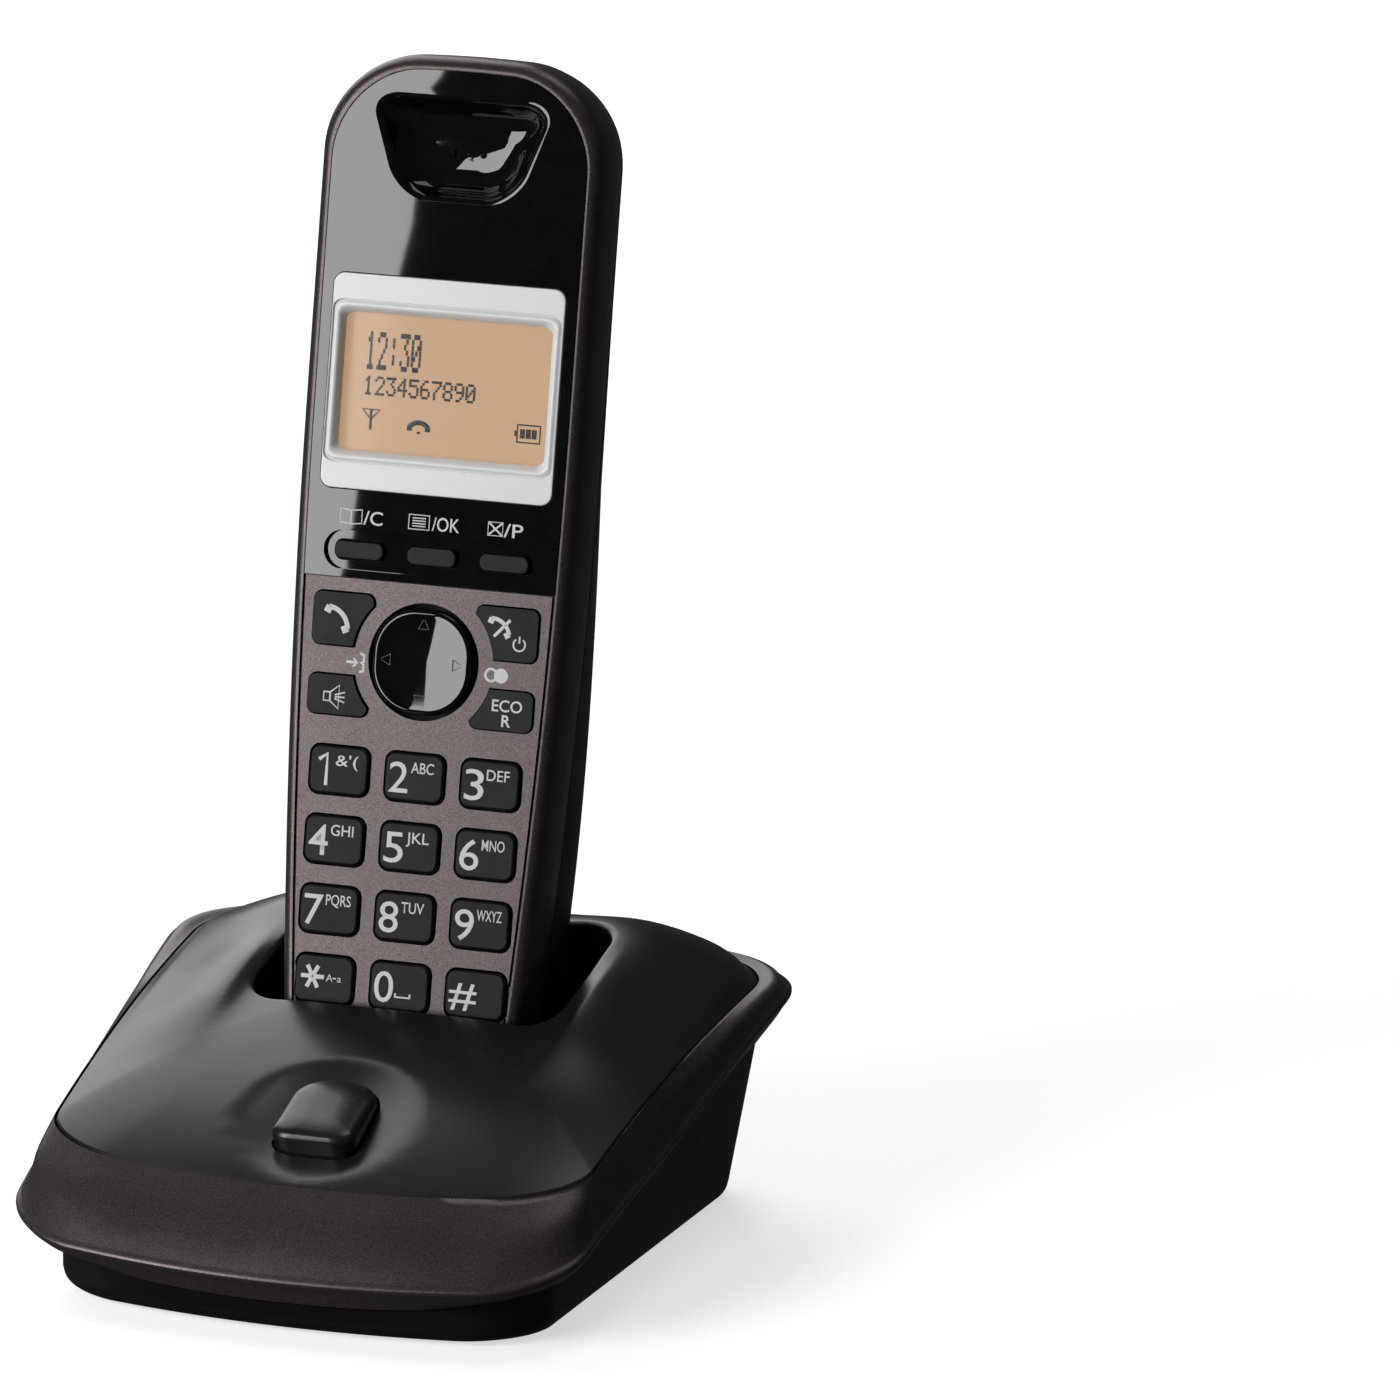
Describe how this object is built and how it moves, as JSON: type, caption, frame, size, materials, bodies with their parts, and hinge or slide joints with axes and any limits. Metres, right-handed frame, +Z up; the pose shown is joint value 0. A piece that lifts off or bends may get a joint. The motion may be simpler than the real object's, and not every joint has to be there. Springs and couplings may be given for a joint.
{
  "type": "cordless phone with base",
  "caption": "Cordless telephone handset with keypad and display, standing in the sloping pocket of its desk base unit.",
  "frame": {"origin": "under the middle of the bounding box, on the plane the feet stand on", "axes": "+Z up along the object's longest extent; the keypad and display face -Y; +X is to the right of someone reading the display"},
  "size_m": [0.1082, 0.1164, 0.1864],
  "materials": {
    "mocha_plastic": "metallic satin",
    "gloss_black": "high gloss",
    "satin_black": "satin",
    "key_black": "satin with white legends",
    "silver_plastic": "silver lacquer",
    "clear_window": "clear",
    "display_glass": "amber backlit",
    "rubber": "matt",
    "circuit_board": "solder mask",
    "steel": "plain",
    "contact_metal": "plated",
    "cell_sleeve": "printed sleeve"
  },
  "bodies": {
    "base": {"base_cover": "gloss_black", "base_bezel": "mocha_plastic", "base_lower_case": "satin_black", "locator_switch": "satin_black", "locator_board": "circuit_board", "base_board": "circuit_board", "dc_jack": "satin_black", "line_jack": "satin_black", "foot_front_left": "rubber", "foot_front_right": "rubber", "foot_rear_left": "rubber", "foot_rear_right": "rubber", "base_screw_front": "steel", "base_screw_rear": "steel"},
    "handset": {"handset_front_case": "mocha_plastic", "front_panel": "gloss_black", "display_bezel": "silver_plastic", "display_window": "clear_window", "display_module": "display_glass", "keypad_mat": "rubber", "main_board": "circuit_board", "earpiece_speaker": "steel", "ringer_speaker": "steel", "microphone": "steel", "handset_rear_case": "satin_black", "battery_cell_left": "cell_sleeve", "battery_cell_right": "cell_sleeve", "battery_contact_low": "steel", "battery_contact_high": "steel", "handset_contact_left": "contact_metal", "handset_contact_right": "contact_metal", "handset_screw_left": "steel", "handset_screw_right": "steel"},
    "nav_pivot": {"nav_pivot": "steel"},
    "nav_key": {"nav_key": "gloss_black"},
    "battery_lid": {"battery_lid": "satin_black"},
    "locator_button": {"locator_button": "gloss_black"},
    "cradle_contact_left": {"cradle_contact_left": "contact_metal"},
    "cradle_contact_right": {"cradle_contact_right": "contact_metal"},
    "key_1": {"key_1": "key_black"},
    "key_2": {"key_2": "key_black"},
    "key_3": {"key_3": "key_black"},
    "key_4": {"key_4": "key_black"},
    "key_5": {"key_5": "key_black"},
    "key_6": {"key_6": "key_black"},
    "key_7": {"key_7": "key_black"},
    "key_8": {"key_8": "key_black"},
    "key_9": {"key_9": "key_black"},
    "key_star": {"key_star": "key_black"},
    "key_0": {"key_0": "key_black"},
    "key_hash": {"key_hash": "key_black"},
    "talk_key": {"talk_key": "key_black"},
    "off_key": {"off_key": "key_black"},
    "speaker_key": {"speaker_key": "key_black"},
    "recall_key": {"recall_key": "key_black"},
    "left_soft_key": {"left_soft_key": "key_black"},
    "middle_soft_key": {"middle_soft_key": "key_black"},
    "right_soft_key": {"right_soft_key": "key_black"}
  },
  "joints": [
    {"name": "handset_lift", "type": "slide", "parent": "base", "child": "handset", "axis": [0, 0.2164, 0.9763], "range_m": [0, 0.09]},
    {"name": "locator_press", "type": "slide", "parent": "base", "child": "locator_button", "axis": [0, 0.4003, -0.9164], "range_m": [0, 0.0006], "stiffness_N_per_m": 500},
    {"name": "cradle_contact_left_press", "type": "slide", "parent": "base", "child": "cradle_contact_left", "axis": [0, -0.2164, -0.9763], "range_m": [0, 0.001], "stiffness_N_per_m": 300},
    {"name": "cradle_contact_right_press", "type": "slide", "parent": "base", "child": "cradle_contact_right", "axis": [0, -0.2164, -0.9763], "range_m": [0, 0.001], "stiffness_N_per_m": 300},
    {"name": "battery_lid_off", "type": "slide", "parent": "handset", "child": "battery_lid", "axis": [0, 0.9763, -0.2164], "range_m": [0, 0.02]},
    {"name": "nav_tilt_up_down", "type": "hinge", "parent": "handset", "child": "nav_pivot", "pos_m": [0, 0.01365, 0.09158], "axis": [1, 0, 0], "range_deg": [-3, 3], "stiffness_Nm_per_rad": 0.05},
    {"name": "nav_tilt_left_right", "type": "hinge", "parent": "nav_pivot", "child": "nav_key", "pos_m": [0, 0.01365, 0.09158], "axis": [0, 0.2164, 0.9763], "range_deg": [-3, 3], "stiffness_Nm_per_rad": 0.05},
    {"name": "key_1_press", "type": "slide", "parent": "handset", "child": "key_1", "axis": [0, 0.9763, -0.2164], "range_m": [0, 0.0005], "stiffness_N_per_m": 400},
    {"name": "key_2_press", "type": "slide", "parent": "handset", "child": "key_2", "axis": [0, 0.9763, -0.2164], "range_m": [0, 0.0005], "stiffness_N_per_m": 400},
    {"name": "key_3_press", "type": "slide", "parent": "handset", "child": "key_3", "axis": [0, 0.9763, -0.2164], "range_m": [0, 0.0005], "stiffness_N_per_m": 400},
    {"name": "key_4_press", "type": "slide", "parent": "handset", "child": "key_4", "axis": [0, 0.9763, -0.2164], "range_m": [0, 0.0005], "stiffness_N_per_m": 400},
    {"name": "key_5_press", "type": "slide", "parent": "handset", "child": "key_5", "axis": [0, 0.9763, -0.2164], "range_m": [0, 0.0005], "stiffness_N_per_m": 400},
    {"name": "key_6_press", "type": "slide", "parent": "handset", "child": "key_6", "axis": [0, 0.9763, -0.2164], "range_m": [0, 0.0005], "stiffness_N_per_m": 400},
    {"name": "key_7_press", "type": "slide", "parent": "handset", "child": "key_7", "axis": [0, 0.9763, -0.2164], "range_m": [0, 0.0005], "stiffness_N_per_m": 400},
    {"name": "key_8_press", "type": "slide", "parent": "handset", "child": "key_8", "axis": [0, 0.9763, -0.2164], "range_m": [0, 0.0005], "stiffness_N_per_m": 400},
    {"name": "key_9_press", "type": "slide", "parent": "handset", "child": "key_9", "axis": [0, 0.9763, -0.2164], "range_m": [0, 0.0005], "stiffness_N_per_m": 400},
    {"name": "key_star_press", "type": "slide", "parent": "handset", "child": "key_star", "axis": [0, 0.9763, -0.2164], "range_m": [0, 0.0005], "stiffness_N_per_m": 400},
    {"name": "key_0_press", "type": "slide", "parent": "handset", "child": "key_0", "axis": [0, 0.9763, -0.2164], "range_m": [0, 0.0005], "stiffness_N_per_m": 400},
    {"name": "key_hash_press", "type": "slide", "parent": "handset", "child": "key_hash", "axis": [0, 0.9763, -0.2164], "range_m": [0, 0.0005], "stiffness_N_per_m": 400},
    {"name": "talk_key_press", "type": "slide", "parent": "handset", "child": "talk_key", "axis": [0, 0.9763, -0.2164], "range_m": [0, 0.0005], "stiffness_N_per_m": 400},
    {"name": "off_key_press", "type": "slide", "parent": "handset", "child": "off_key", "axis": [0, 0.9763, -0.2164], "range_m": [0, 0.0005], "stiffness_N_per_m": 400},
    {"name": "speaker_key_press", "type": "slide", "parent": "handset", "child": "speaker_key", "axis": [0, 0.9763, -0.2164], "range_m": [0, 0.0005], "stiffness_N_per_m": 400},
    {"name": "recall_key_press", "type": "slide", "parent": "handset", "child": "recall_key", "axis": [0, 0.9763, -0.2164], "range_m": [0, 0.0005], "stiffness_N_per_m": 400},
    {"name": "left_soft_key_press", "type": "slide", "parent": "handset", "child": "left_soft_key", "axis": [0, 0.9763, -0.2164], "range_m": [0, 0.0005], "stiffness_N_per_m": 400},
    {"name": "middle_soft_key_press", "type": "slide", "parent": "handset", "child": "middle_soft_key", "axis": [0, 0.9763, -0.2164], "range_m": [0, 0.0005], "stiffness_N_per_m": 400},
    {"name": "right_soft_key_press", "type": "slide", "parent": "handset", "child": "right_soft_key", "axis": [0, 0.9763, -0.2164], "range_m": [0, 0.0005], "stiffness_N_per_m": 400}
  ]
}
